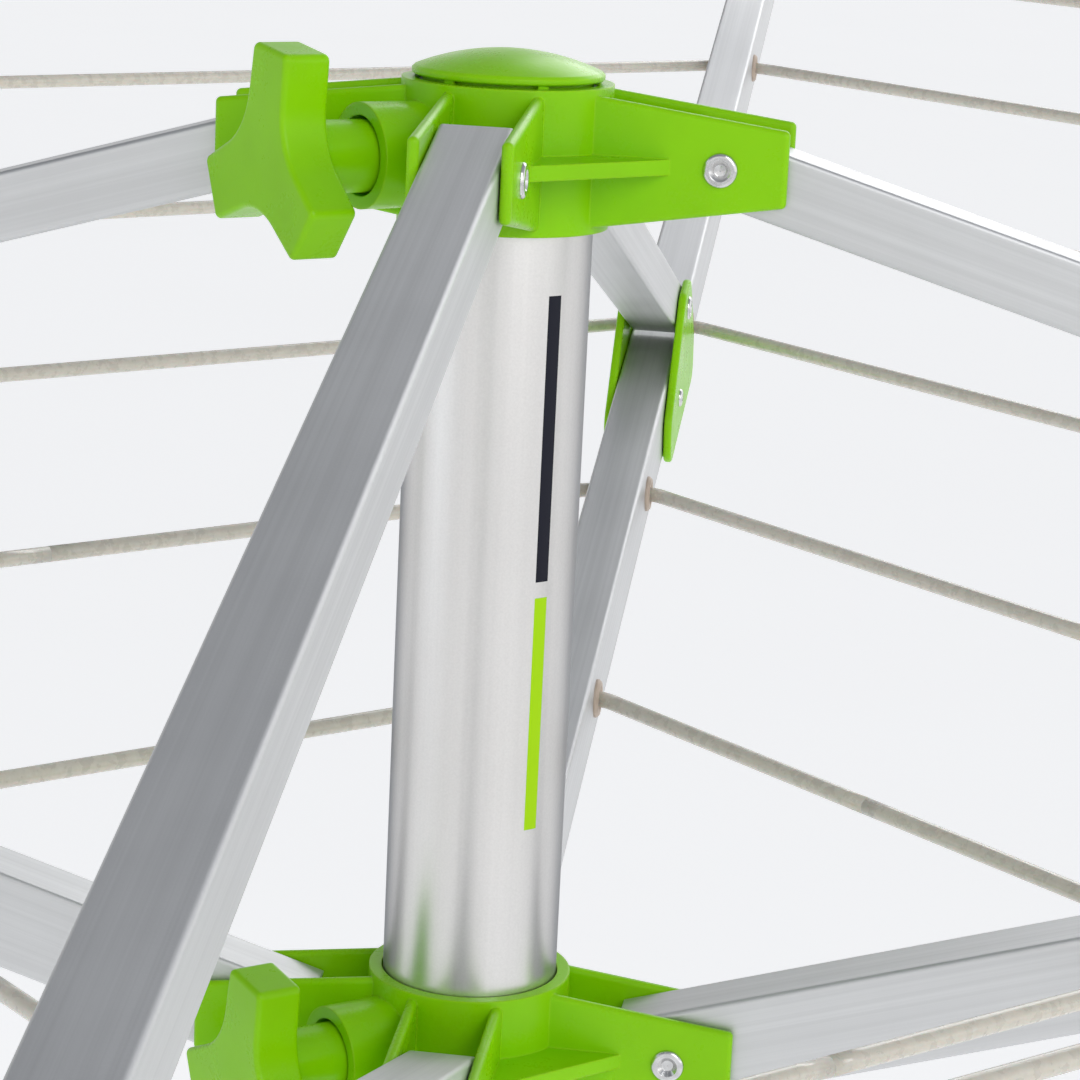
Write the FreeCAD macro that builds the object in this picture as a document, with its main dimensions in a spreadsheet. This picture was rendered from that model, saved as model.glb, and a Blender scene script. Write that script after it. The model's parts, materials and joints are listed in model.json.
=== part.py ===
import FreeCAD, Part
import math
import os
import re

# Rotary clothesline with a folding head of four arms on a round mast.
# Millimetres, +Z up. The origin is on the mast's axis at ground level, and the right arm
# points along +X. The lower hub is the runner: it slides down the mast as the arms fold up.

Vector = FreeCAD.Vector
Rotation = FreeCAD.Rotation
Placement = FreeCAD.Placement

doc = FreeCAD.newDocument("rotary_clothesline")

SIDES = (("right", 0), ("back", 90), ("left", 180), ("front", 270))
CLAMP_BEARING = 221.5
KNOB_LEAN = -7.3
RINGS = 8

DRIVING_SIZES = (
    # mast and ground socket
    ("mast_radius", 25.0),
    ("mast_wall", 1.6),
    ("mast_bottom", 295.0),
    ("upper_pivot_height", 1800.0),
    ("mast_top_rise", 18.5),
    ("socket_radius", 30.0),
    ("socket_depth", 350.0),
    ("socket_bore", 25.4),
    ("bushing_radius", 28.0),
    ("bushing_depth", 60.0),
    ("flange_radius", 56.0),
    ("flange_thickness", 5.0),
    ("collar_radius", 33.0),
    ("collar_top", 14.0),
    ("lid_radius", 32.0),
    ("lid_thickness", 3.0),
    ("lid_hinge_radius", 46.0),
    ("lid_hinge_height", 17.0),
    ("lid_pin_radius", 2.0),
    ("lug_gap", 12.8),
    ("lug_thickness", 4.0),
    ("lug_top_radius", 5.6),
    # hubs
    ("hub_radius", 29.0),
    ("hub_height", 39.0),
    ("pivot_radius", 60.0),
    ("pivot_spacing", 255.0),
    ("ear_end", 78.0),
    ("ear_root", 24.5),
    ("ear_gap", 20.8),
    ("ear_thickness", 3.2),
    ("ear_root_half_height", 18.0),
    ("ear_end_top", 11.3),
    ("ear_end_bottom", 9.2),
    ("web_thickness", 4.2),
    ("web_reach", 48.0),
    ("web_inset", 12.0),
    ("boss_radius", 14.2),
    ("boss_bore", 10.75),
    ("boss_end", 46.0),
    ("boss_bore_floor", 40.0),
    ("fixed_bore", 25.15),
    ("sliding_bore", 25.4),
    ("cap_radius", 26.3),
    ("cap_gap", 0.9),
    ("cap_rim", 2.3),
    ("cap_dome", 5.2),
    # clamp screw with its knob
    ("nut_flats", 13.0),
    ("nut_start", 33.0),
    ("nut_length", 6.5),
    ("screw_radius", 4.0),
    ("screw_tip_radius", 3.0),
    ("screw_tip_start", 27.2),
    ("screw_start", 29.6),
    ("screw_end", 66.0),
    ("pad_radius", 6.0),
    ("pad_start", 25.6),
    ("pad_end", 28.6),
    ("pad_seat", 27.1),
    ("pad_travel", 2.5),
    ("knob_back", 62.5),
    ("knob_front", 76.2),
    ("knob_stem_radius", 9.7),
    ("knob_stem_start", 41.0),
    ("knob_reach", 29.2),
    ("knob_tip_half_width", 8.7),
    ("knob_waist", 17.0),
    ("knob_waist_half_width", 9.3),
    ("knob_hollow", 20.2),
    # folding tubes
    ("tube_width", 20.0),
    ("tube_wall", 1.4),
    ("arm_height", 28.0),
    ("arm_inner_end", 12.0),
    ("strut_height", 19.0),
    ("strut_upper_end", 11.0),
    ("strut_lower_end", 9.0),
    ("strut_reach", 396.0),
    ("bracket_station", 405.0),
    ("bracket_rise", 28.0),
    ("tip_past_last_ring", 24.0),
    ("ring_first_radius", 204.0),
    ("ring_step_radius", 141.0),
    # brackets, rivets, eyelets, end caps and line
    ("bracket_inner_length", 56.0),
    ("bracket_outer_length", 28.0),
    ("bracket_bottom", 17.0),
    ("bracket_shoulder", 3.0),
    ("bracket_top_half", 9.0),
    ("bracket_top", 37.8),
    ("fixing_offset", 26.0),
    ("rivet_shank", 3.0),
    ("rivet_hole", 3.05),
    ("rivet_head", 4.75),
    ("rivet_head_height", 1.1),
    ("rivet_recess", 2.9),
    ("fixing_shank", 2.0),
    ("fixing_hole", 2.05),
    ("fixing_head", 3.6),
    ("fixing_recess", 1.9),
    ("eyelet_hole", 4.9),
    ("eyelet_neck", 4.8),
    ("eyelet_flange", 6.7),
    ("eyelet_bore", 3.7),
    ("eyelet_depth", 3.0),
    ("cap_wall", 0.9),
    ("end_cap_thickness", 7.0),
    ("end_cap_plug", 17.0),
    ("line_radius", 2.8),
    ("line_bend_radius", 12.0),
    ("line_corner", 12.6),
)


def derived_sizes(size):
    """Slopes and stations that follow from the linkage's triangle of pivots."""
    reach = math.hypot(size["bracket_station"], size["bracket_rise"])
    strut = size["strut_reach"]
    spacing = size["pivot_spacing"]
    at_upper = math.acos((strut**2 + spacing**2 - reach**2) / (2 * strut * spacing))
    at_lower = math.acos((reach**2 + spacing**2 - strut**2) / (2 * reach * spacing))
    lean = math.asin(size["bracket_rise"] / reach)
    strut_slope = math.pi / 2 - at_upper
    reach_slope = math.pi / 2 - at_lower
    arm_slope = reach_slope - lean
    crown = ((size["cap_radius"] - 0.8) ** 2 + size["cap_dome"] ** 2) / (2 * size["cap_dome"])
    first = (size["ring_first_radius"] - size["pivot_radius"]) / math.cos(arm_slope)
    step = size["ring_step_radius"] / math.cos(arm_slope)
    return (
        ("strut_slope", math.degrees(strut_slope)),
        ("arm_slope", math.degrees(arm_slope)),
        ("reach_slope", math.degrees(reach_slope)),
        ("arm_reach", reach),
        ("cap_crown_radius", crown),
        ("ring_first_station", first),
        ("ring_step_station", step),
        ("arm_tip", first + (RINGS - 1) * step + size["tip_past_last_ring"]),
    )


def make_sheet(rows):
    """One spreadsheet row for each size: its name, its value and an alias of that name."""
    sheet = doc.addObject("Spreadsheet::Sheet", "Sizes")
    for row, (name, number) in enumerate(rows, start=1):
        sheet.set("A%d" % row, name)
        sheet.set("B%d" % row, repr(round(number, 6)))
        sheet.setAlias("B%d" % row, name)
    doc.recompute()
    return sheet


SIZE = dict(DRIVING_SIZES)
SIZE.update(derived_sizes(SIZE))
SHEET = make_sheet(tuple(SIZE.items()))


def formula(text):
    """The expression that a property is bound to, with each size named on the sheet."""
    return re.sub(r"[a-z]+(?:_[a-z]+)+", lambda found: "Sizes." + found.group(0), text)


def value(text):
    """The present value of a formula."""
    names = dict(SIZE)
    names["pi"] = math.pi
    number = SHEET.evalExpression(formula(text))
    return float(getattr(number, "Value", number))


def bind(feature, path, text):
    feature.setExpression(path, formula(text))


# ---- small vocabulary for bodies, sketches and features ----

def new_body(label, placement=Placement()):
    body = doc.addObject("PartDesign::Body", label)
    body.Label = label
    body.AllowCompound = True
    body.Placement = placement
    return body


def origin_feature(body, role):
    return [item for item in body.Origin.OriginFeatures if item.Role == role][0]


def new_sketch(body, plane, name, shift=("0", "0", "0")):
    """A sketch on one of the body's origin planes, moved by shift in the plane's own axes."""
    sketch = body.newObject("Sketcher::SketchObject", body.Label + "_" + name)
    sketch.AttachmentSupport = [(origin_feature(body, plane), "")]
    sketch.MapMode = "FlatFace"
    for axis, text in zip("xyz", shift):
        if text != "0":
            bind(sketch, "AttachmentOffset.Base." + axis, text)
    return sketch


def place_vertex(sketch, edge, end, x_text, y_text):
    """Hold one end of an edge at a place given by two formulas."""
    x_value, y_value = value(x_text), value(y_text)
    if abs(x_value) < 1e-9:
        sketch.addConstraint(Sketcher.Constraint("PointOnObject", edge, end, -2))
    else:
        row = sketch.addConstraint(Sketcher.Constraint("DistanceX", -1, 1, edge, end, x_value))
        bind(sketch, "Constraints[%d]" % row, x_text)
    if abs(y_value) < 1e-9:
        sketch.addConstraint(Sketcher.Constraint("PointOnObject", edge, end, -1))
    else:
        row = sketch.addConstraint(Sketcher.Constraint("DistanceY", -1, 1, edge, end, y_value))
        bind(sketch, "Constraints[%d]" % row, y_text)


def arc_between(start, finish, radius, clockwise):
    """An arc of circle and the numbers of its ends at start and at finish."""
    chord = finish - start
    side = -1.0 if clockwise else 1.0
    across = Vector(-chord.y, chord.x, 0).normalize()
    height = math.sqrt(max(radius**2 - (chord.Length / 2) ** 2, 0.0))
    centre = (start + finish) * 0.5 + across * (side * height)
    angle_start = math.atan2(start.y - centre.y, start.x - centre.x)
    angle_finish = math.atan2(finish.y - centre.y, finish.x - centre.x)
    circle = Part.Circle(centre, Vector(0, 0, 1), radius)
    if clockwise:
        return Part.ArcOfCircle(circle, angle_finish, angle_start), 2, 1
    return Part.ArcOfCircle(circle, angle_start, angle_finish), 1, 2


def outline(sketch, corners):
    """A closed outline. A corner is (x, y), or (x, y, radius) when an arc leaves it;
    a radius with a leading minus turns clockwise."""
    points = [Vector(value(corner[0]), value(corner[1]), 0) for corner in corners]
    ends = []
    for number, corner in enumerate(corners):
        start = points[number]
        finish = points[(number + 1) % len(points)]
        if len(corner) == 3:
            clockwise = corner[2].startswith("-")
            radius_text = corner[2].lstrip("-")
            arc, first, last = arc_between(start, finish, value(radius_text), clockwise)
            edge = sketch.addGeometry(arc, False)
            row = sketch.addConstraint(Sketcher.Constraint("Radius", edge, value(radius_text)))
            bind(sketch, "Constraints[%d]" % row, radius_text)
            ends.append((edge, first, last))
        else:
            edge = sketch.addGeometry(Part.LineSegment(start, finish), False)
            ends.append((edge, 1, 2))
    for number, (edge, first, last) in enumerate(ends):
        following, its_first, _ = ends[(number + 1) % len(ends)]
        sketch.addConstraint(Sketcher.Constraint("Coincident", edge, last, following, its_first))
        place_vertex(sketch, edge, first, corners[number][0], corners[number][1])


def rectangle(sketch, left, right, bottom, top):
    outline(sketch, ((left, bottom), (right, bottom), (right, top), (left, top)))


def circle(sketch, radius, x_text="0", y_text="0"):
    centre = Vector(value(x_text), value(y_text), 0)
    ring = sketch.addGeometry(Part.Circle(centre, Vector(0, 0, 1), value(radius)), False)
    row = sketch.addConstraint(Sketcher.Constraint("Radius", ring, value(radius)))
    bind(sketch, "Constraints[%d]" % row, radius)
    place_vertex(sketch, ring, 3, x_text, y_text)


def pad(body, sketch, length, both_ways=False, reverse=False):
    feature = body.newObject("PartDesign::Pad", sketch.Name + "_pad")
    feature.Profile = sketch
    feature.SideType = "Symmetric" if both_ways else "One side"
    feature.Reversed = reverse
    bind(feature, "Length", length)
    doc.recompute()
    return feature


def pocket(body, sketch, length=None, reverse=False):
    """A blind pocket of the given length, or one right through both ways without one."""
    before = body.Shape.Volume
    feature = body.newObject("PartDesign::Pocket", sketch.Name + "_pocket")
    feature.Profile = sketch
    feature.Reversed = reverse
    if length is None:
        feature.SideType = "Symmetric"
        feature.Type = "ThroughAll"
    else:
        bind(feature, "Length", length)
    doc.recompute()
    if body.Shape.Volume > before - 0.5:
        raise RuntimeError("nothing cut by " + feature.Name)
    return feature


def revolve(body, sketch):
    """Turn a profile right round its sketch's vertical axis."""
    feature = body.newObject("PartDesign::Revolution", sketch.Name + "_turned")
    feature.Profile = sketch
    feature.ReferenceAxis = (sketch, ["V_Axis"])
    feature.Angle = 360
    doc.recompute()
    return feature


def polar(body, originals, count, angle=360):
    feature = body.newObject("PartDesign::PolarPattern", originals[0].Name + "_round")
    feature.Originals = originals
    feature.Axis = (origin_feature(body, "Z_Axis"), [""])
    feature.Angle = angle
    feature.Occurrences = count
    body.Tip = feature
    doc.recompute()
    return feature


def row_of(body, originals, count, length):
    feature = body.newObject("PartDesign::LinearPattern", originals[0].Name + "_row")
    feature.Originals = originals
    feature.Direction = (origin_feature(body, "X_Axis"), [""])
    feature.Occurrences = count
    bind(feature, "Length", length)
    body.Tip = feature
    doc.recompute()
    return feature


def round_edges(body, radius, wanted):
    """Fillet the edges that the given test picks."""
    before = body.Tip
    names = []
    for number, edge in enumerate(before.Shape.Edges, start=1):
        if wanted(edge):
            names.append("Edge%d" % number)
    feature = body.newObject("PartDesign::Fillet", body.Label + "_round_edges")
    feature.Base = (before, names)
    feature.Radius = radius
    doc.recompute()
    return feature


def is_straight(edge):
    return edge.Curve.TypeId == "Part::GeomLine"


def runs_along(edge, axis):
    return is_straight(edge) and edge.tangentAt(edge.FirstParameter).cross(axis).Length < 1e-6


def far_radius(edge):
    return max(math.hypot(vertex.X, vertex.Y) for vertex in edge.Vertexes)


# ---- where things stand ----

X_AXIS = Vector(1, 0, 0)
Y_AXIS = Vector(0, 1, 0)
Z_AXIS = Vector(0, 0, 1)
UPPER_PIVOT = value("upper_pivot_height")
LOWER_PIVOT = value("upper_pivot_height - pivot_spacing")


def around(bearing):
    return Placement(Vector(), Rotation(Z_AXIS, bearing))


def arm_place(bearing):
    """The frame of an arm: its pivot on the runner, with local +X along the arm."""
    lean = Placement(Vector(value("pivot_radius"), 0, LOWER_PIVOT), Rotation(Y_AXIS, -value("arm_slope")))
    return around(bearing).multiply(lean)


def strut_place(bearing):
    """The frame of a strut: its pivot on the upper hub, with local +X down the strut."""
    lean = Placement(Vector(value("pivot_radius"), 0, UPPER_PIVOT), Rotation(Y_AXIS, value("strut_slope")))
    return around(bearing).multiply(lean)


def clamp_place(height, lean=0):
    """The frame of a clamp screw: local +X points outwards along the screw, turned by lean about it."""
    outwards = Placement(Vector(0, 0, height), Rotation(Z_AXIS, CLAMP_BEARING))
    return outwards.multiply(Placement(Vector(), Rotation(X_AXIS, lean)))


# ---- ground socket and its lid ----

def ground_socket():
    body = new_body("ground_socket")
    profile = new_sketch(body, "XZ_Plane", "profile")
    outline(profile, (
        ("0", "-socket_depth"),
        ("socket_radius - 14", "-socket_depth"),
        ("socket_radius", "-socket_depth + 45"),
        ("socket_radius", "0"),
        ("flange_radius", "0"),
        ("flange_radius", "flange_thickness - 2"),
        ("flange_radius - 2", "flange_thickness"),
        ("collar_radius", "flange_thickness"),
        ("collar_radius", "collar_top"),
        ("bushing_radius", "collar_top"),
        ("bushing_radius", "-bushing_depth"),
        ("socket_bore", "-bushing_depth"),
        ("socket_bore", "-mast_bottom - 5.5"),
        ("0", "-mast_bottom - 5.5"),
    ))
    revolve(body, profile)
    for name, shift in (("near", "lug_gap / 2"), ("far", "-lug_gap / 2 - lug_thickness")):
        lug = new_sketch(body, "XZ_Plane", name + "_lug", ("0", "0", shift))
        outline(lug, (
            ("-lid_hinge_radius - 5", "flange_thickness - 1"),
            ("-lid_hinge_radius + 5", "flange_thickness - 1"),
            ("-lid_hinge_radius + 5", "lid_hinge_height", "lug_top_radius"),
            ("-lid_hinge_radius - 5", "lid_hinge_height"),
        ))
        pad(body, lug, "lug_thickness")
    hole = new_sketch(body, "XZ_Plane", "pin_hole")
    circle(hole, "lid_pin_radius", "-lid_hinge_radius", "lid_hinge_height")
    pocket(body, hole)
    return body


def socket_bushing():
    body = new_body("socket_bushing")
    profile = new_sketch(body, "XZ_Plane", "profile")
    outline(profile, (
        ("socket_bore", "-bushing_depth"),
        ("bushing_radius", "-bushing_depth"),
        ("bushing_radius", "collar_top"),
        ("collar_radius - 1", "collar_top"),
        ("collar_radius - 1", "collar_top + 1.5"),
        ("socket_bore + 1.5", "collar_top + 1.5"),
        ("socket_bore", "collar_top"),
    ))
    revolve(body, profile)
    return body


def lid_pin():
    body = new_body("lid_pin")
    section = new_sketch(body, "XZ_Plane", "section")
    circle(section, "lid_pin_radius", "-lid_hinge_radius", "lid_hinge_height")
    pad(body, section, "lug_gap + lug_thickness * 2 + 1", both_ways=True)
    return body


def socket_lid():
    """The lid lies open, level, on the outer side of its hinge while the mast is in."""
    hinge = Vector(-value("lid_hinge_radius"), 0, value("lid_hinge_height"))
    body = new_body("socket_lid", Placement(hinge, Rotation(Z_AXIS, 180)))
    disc = new_sketch(body, "XY_Plane", "disc", ("0", "0", "-lid_thickness / 2"))
    circle(disc, "lid_radius", "lid_hinge_radius")
    pad(body, disc, "lid_thickness")
    tongue = new_sketch(body, "XY_Plane", "tongue", ("0", "0", "-lid_thickness / 2"))
    rectangle(tongue, "0", "lid_hinge_radius - 15", "-lug_gap / 2 + 0.6", "lug_gap / 2 - 0.6")
    pad(body, tongue, "lid_thickness")
    knuckle = new_sketch(body, "XZ_Plane", "knuckle")
    circle(knuckle, "lid_pin_radius + 2.4")
    pad(body, knuckle, "lug_gap - 1.2", both_ways=True)
    round_edges(body, 1.0, lambda edge: edge.Length > 80 and not is_straight(edge))
    hole = new_sketch(body, "XZ_Plane", "pin_hole")
    circle(hole, "lid_pin_radius + 0.06")
    pocket(body, hole)
    return body


# ---- mast ----

def mast_tube():
    body = new_body("mast_tube", Placement(Vector(0, 0, -value("mast_bottom")), Rotation()))
    section = new_sketch(body, "XY_Plane", "section")
    circle(section, "mast_radius")
    circle(section, "mast_radius - mast_wall")
    pad(body, section, "mast_bottom + upper_pivot_height + mast_top_rise")
    return body


def mast_foot():
    body = new_body("mast_foot", Placement(Vector(0, 0, -value("mast_bottom")), Rotation()))
    profile = new_sketch(body, "XZ_Plane", "profile")
    outline(profile, (
        ("0", "-lid_thickness - 2"),
        ("mast_radius - 3", "-lid_thickness - 2"),
        ("mast_radius", "-2"),
        ("mast_radius", "0"),
        ("mast_radius - mast_wall - 0.1", "0"),
        ("mast_radius - mast_wall - 0.1", "28"),
        ("mast_radius - mast_wall - 1.6", "30"),
        ("0", "30"),
    ))
    revolve(body, profile)
    return body


# ---- hubs ----

def facing_clamp(sketch, distance):
    """Turn a sketch on the YZ plane to face along the clamp screw, at a distance from the axis."""
    turn = Rotation(Y_AXIS, CLAMP_BEARING)
    sketch.AttachmentOffset = Placement(turn.multVec(Z_AXIS) * value(distance), turn)


def clamp_sketch(body, name, distance, radius):
    sketch = new_sketch(body, "YZ_Plane", name)
    facing_clamp(sketch, distance)
    circle(sketch, radius)
    return sketch


def hub_ears(body):
    """Four forks of two ears, each a tapered plate that stands out from the sleeve."""
    ears = []
    for name, shift in (("near", "ear_gap / 2"), ("far", "-ear_gap / 2 - ear_thickness")):
        ear = new_sketch(body, "XZ_Plane", name + "_ear", ("0", "0", shift))
        outline(ear, (
            ("ear_root", "-ear_root_half_height"),
            ("ear_end", "-ear_end_bottom"),
            ("ear_end", "ear_end_top"),
            ("ear_root", "ear_root_half_height"),
        ))
        ears.append(pad(body, ear, "ear_thickness"))
    polar(body, ears, 4)


def hub_webs(body):
    """A level web in each corner between forks, except where the clamp's boss stands."""
    web = new_sketch(body, "XY_Plane", "web")
    outline(web, (
        ("web_inset", "-ear_root"),
        ("web_inset", "-web_reach"),
        ("web_reach", "-web_inset"),
        ("ear_root", "-web_inset"),
    ))
    polar(body, [pad(body, web, "web_thickness", both_ways=True)], 3, 180)


def hub_clamp_seat(body):
    """Room for the pressure pad, the screw, the nut and the knob's stem, from inside out."""
    cuts = (
        ("stem_bore", "boss_end", "boss_bore", "boss_end - boss_bore_floor"),
        ("screw_hole", "boss_bore_floor", "screw_radius + 0.3", "boss_bore_floor - mast_radius + 4"),
        ("pad_room", "pad_end + pad_travel + 0.3", "pad_radius + 0.4", "pad_end - mast_radius + 6.5"),
    )
    for name, distance, radius, depth in cuts:
        pocket(body, clamp_sketch(body, name, distance, radius), depth)
    seat = new_sketch(body, "YZ_Plane", "nut_seat")
    facing_clamp(seat, "boss_bore_floor")
    hexagon(seat, "nut_flats / 2 + 0.05")
    pocket(body, seat, "boss_bore_floor - nut_start")


def hexagon(sketch, apothem):
    half_side = "(%s) * tan(30)" % apothem
    corner = "(%s) / cos(30)" % apothem
    outline(sketch, (
        (corner, "0"),
        (half_side, apothem),
        ("-" + half_side, apothem),
        ("-" + corner, "0"),
        ("-" + half_side, "-(%s)" % apothem),
        (half_side, "-(%s)" % apothem),
    ))


def hub(label, height, bore):
    body = new_body(label, Placement(Vector(0, 0, height), Rotation()))
    sleeve = new_sketch(body, "XY_Plane", "sleeve")
    circle(sleeve, "hub_radius")
    pad(body, sleeve, "hub_height", both_ways=True)
    hub_ears(body)
    hub_webs(body)
    round_edges(body, 1.5, lambda edge: far_radius(edge) > value("ear_end") - 10)
    boss = clamp_sketch(body, "boss", "0", "boss_radius")
    pad(body, boss, "boss_end")
    rim = new_sketch(body, "XY_Plane", "bore")
    circle(rim, bore)
    pocket(body, rim)
    hub_clamp_seat(body)
    pins = new_sketch(body, "XZ_Plane", "pivot_holes")
    circle(pins, "rivet_hole", "pivot_radius")
    circle(pins, "rivet_hole", "-pivot_radius")
    polar(body, [pocket(body, pins)], 2, 90)
    return body


def hub_cap():
    body = new_body("hub_cap", Placement(Vector(0, 0, UPPER_PIVOT + value("hub_height / 2")), Rotation()))
    profile = new_sketch(body, "XZ_Plane", "profile")
    outline(profile, (
        ("0", "-10"),
        ("mast_radius - mast_wall - 0.1", "-10"),
        ("mast_radius - mast_wall - 0.1", "cap_gap"),
        ("cap_radius - 0.5", "cap_gap"),
        ("cap_radius", "cap_gap + 0.5"),
        ("cap_radius", "cap_gap + cap_rim - 0.8"),
        ("cap_radius - 0.8", "cap_gap + cap_rim", "cap_crown_radius"),
        ("0", "cap_gap + cap_rim + cap_dome"),
    ))
    revolve(body, profile)
    nub = new_sketch(body, "XY_Plane", "nub")
    rectangle(nub, "mast_radius - 0.8", "cap_radius - 0.9", "-1.5", "1.5")
    polar(body, [pad(body, nub, "cap_gap + 0.3")], 6)
    return body


# ---- rivets ----

def rivet_profile(shank, head, recess, span):
    """Half of a rivet's section, from one hollow head to the other; span is to a head's seat."""
    top = span + " + rivet_head_height"
    return (
        ("0", "-(%s - 1.5)" % top),
        (recess + " * 0.55", "-(%s - 1.3)" % top),
        (recess, "-(%s)" % top),
        (head + " - rivet_head_height", "-(%s)" % top, "rivet_head_height"),
        (head, "-(%s)" % span),
        (shank, "-(%s)" % span),
        (shank, span),
        (head, span, "rivet_head_height"),
        (head + " - rivet_head_height", top),
        (recess, top),
        (recess + " * 0.55", "%s - 1.3" % top),
        ("0", "%s - 1.5" % top),
    )


def short_rivet_profile(sign):
    """Half of the section of a rivet that holds in one ear only, so the tube can leave the fork."""
    span = "ear_gap / 2 + ear_thickness"
    top = span + " + rivet_head_height"
    corners = (
        ("0", "ear_gap / 2"),
        ("rivet_shank", "ear_gap / 2"),
        ("rivet_shank", span),
        ("rivet_head", span, "rivet_head_height"),
        ("rivet_head - rivet_head_height", top),
        ("rivet_recess", top),
        ("rivet_recess * 0.55", "%s - 1.3" % top),
        ("0", "%s - 1.5" % top),
    )
    if sign > 0:
        return corners
    flipped = []
    for number, corner in enumerate(corners):
        place = (corner[0], "-(%s)" % corner[1])
        if len(corner) == 3:
            place = place + ("-" + corner[2],)
        flipped.append(place)
    return tuple(flipped)


def turned_rivet(body, name, station, rise, profile):
    sketch = new_sketch(body, "XY_Plane", name, (station, "0", rise))
    outline(sketch, profile)
    return revolve(body, sketch)


def upper_hub_rivets():
    body = new_body("upper_hub_rivets", Placement(Vector(0, 0, UPPER_PIVOT), Rotation()))
    profile = rivet_profile("rivet_shank", "rivet_head", "rivet_recess", "ear_gap / 2 + ear_thickness")
    rivet = turned_rivet(body, "rivet", "pivot_radius", "0", profile)
    polar(body, [rivet], 4)
    return body


def runner_rivets():
    body = new_body("runner_rivets", Placement(Vector(0, 0, LOWER_PIVOT), Rotation()))
    near = turned_rivet(body, "near_rivet", "pivot_radius", "0", short_rivet_profile(-1))
    far = turned_rivet(body, "far_rivet", "pivot_radius", "0", short_rivet_profile(1))
    polar(body, [near, far], 4)
    return body


def bracket_rivets(side, bearing):
    body = new_body("bracket_rivets_" + side, arm_place(bearing))
    span = "ear_gap / 2 + ear_thickness"
    pivot = rivet_profile("rivet_shank", "rivet_head", "rivet_recess", span)
    turned_rivet(body, "pivot", "bracket_station", "bracket_rise", pivot)
    fixing = rivet_profile("fixing_shank", "fixing_head", "fixing_recess", span)
    turned_rivet(body, "fixing", "bracket_station - fixing_offset", "0", fixing)
    return body


# ---- clamp screws ----

def clamp_nut(label, height):
    body = new_body(label, clamp_place(height))
    section = new_sketch(body, "YZ_Plane", "section", ("0", "0", "nut_start"))
    hexagon(section, "nut_flats / 2")
    circle(section, "screw_radius + 0.05")
    pad(body, section, "nut_length")
    return body


def clamp_pad(label, height):
    body = new_body(label, clamp_place(height))
    disc = new_sketch(body, "YZ_Plane", "disc", ("0", "0", "pad_start"))
    circle(disc, "pad_radius")
    pad(body, disc, "pad_end - pad_start")
    seat = new_sketch(body, "YZ_Plane", "seat", ("0", "0", "pad_end"))
    circle(seat, "screw_tip_radius + 0.05")
    pocket(body, seat, "pad_end - pad_seat")
    return body


def clamp_screw(label, height):
    body = new_body(label, clamp_place(height))
    tip = new_sketch(body, "YZ_Plane", "tip", ("0", "0", "screw_tip_start"))
    circle(tip, "screw_tip_radius")
    pad(body, tip, "screw_start - screw_tip_start")
    shank = new_sketch(body, "YZ_Plane", "shank", ("0", "0", "screw_start"))
    circle(shank, "screw_radius")
    pad(body, shank, "screw_end - screw_start")
    return body


def knob_corners():
    """Three lobes with square ends, and a hollow between each and the next."""
    lobe = (
        ("knob_tip_half_width", "knob_reach", ""),
        ("knob_waist_half_width", "knob_waist", "-knob_hollow"),
        ("-knob_waist_half_width", "knob_waist", ""),
        ("-knob_tip_half_width", "knob_reach", ""),
    )
    corners = []
    for number in range(3):
        turn = 120 * number
        for across, out, hollow in (lobe[2], lobe[3], lobe[0], lobe[1]):
            x_text = "%s * cos(%d) + %s * sin(%d)" % (across, turn, out, turn)
            y_text = "%s * cos(%d) - (%s) * sin(%d)" % (out, turn, across, turn)
            corner = (x_text, y_text)
            if hollow:
                corner = corner + (hollow.lstrip("-"),)
            corners.append(corner)
    return corners


def knob(label, height):
    body = new_body(label, clamp_place(height, KNOB_LEAN))
    star = new_sketch(body, "YZ_Plane", "star", ("0", "0", "knob_back"))
    outline(star, knob_corners())
    pad(body, star, "knob_front - knob_back")
    tip_reach = value("knob_reach") - 2
    round_edges(body, 2.0, lambda edge: runs_along(edge, X_AXIS) and vertex_reach(edge) > tip_reach)
    round_edges(body, 1.4, lambda edge: not runs_along(edge, X_AXIS))
    stem = new_sketch(body, "YZ_Plane", "stem", ("0", "0", "knob_stem_start"))
    circle(stem, "knob_stem_radius")
    pad(body, stem, "knob_back - knob_stem_start + 1")
    hole = new_sketch(body, "YZ_Plane", "screw_hole", ("0", "0", "screw_end"))
    circle(hole, "screw_radius")
    pocket(body, hole, "screw_end - knob_stem_start")
    return body


def vertex_reach(edge):
    return max(math.hypot(vertex.Y, vertex.Z) for vertex in edge.Vertexes)


# ---- folding tubes ----

def square_tube(body, start, length, width, tall):
    """A hollow rectangular tube along the body's X axis."""
    section = new_sketch(body, "YZ_Plane", "section", ("0", "0", start))
    rectangle(section, "-%s / 2" % width, "%s / 2" % width, "-%s / 2" % tall, "%s / 2" % tall)
    inside = ("-%s / 2 + tube_wall" % width, "%s / 2 - tube_wall" % width)
    rectangle(section, inside[0], inside[1], "-%s / 2 + tube_wall" % tall, "%s / 2 - tube_wall" % tall)
    pad(body, section, length)
    half_width = value(width + " / 2")
    outer = lambda edge: runs_along(edge, X_AXIS) and abs(abs(edge.Vertexes[0].Y) - half_width) < 0.01
    round_edges(body, 1.3, outer)


def strut_tube(side, bearing):
    body = new_body("strut_tube_" + side, strut_place(bearing))
    length = "strut_upper_end + strut_reach + strut_lower_end"
    square_tube(body, "-strut_upper_end", length, "tube_width", "strut_height")
    pins = new_sketch(body, "XZ_Plane", "pivot_holes")
    circle(pins, "rivet_hole")
    circle(pins, "rivet_hole", "strut_reach")
    pocket(body, pins)
    return body


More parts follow.
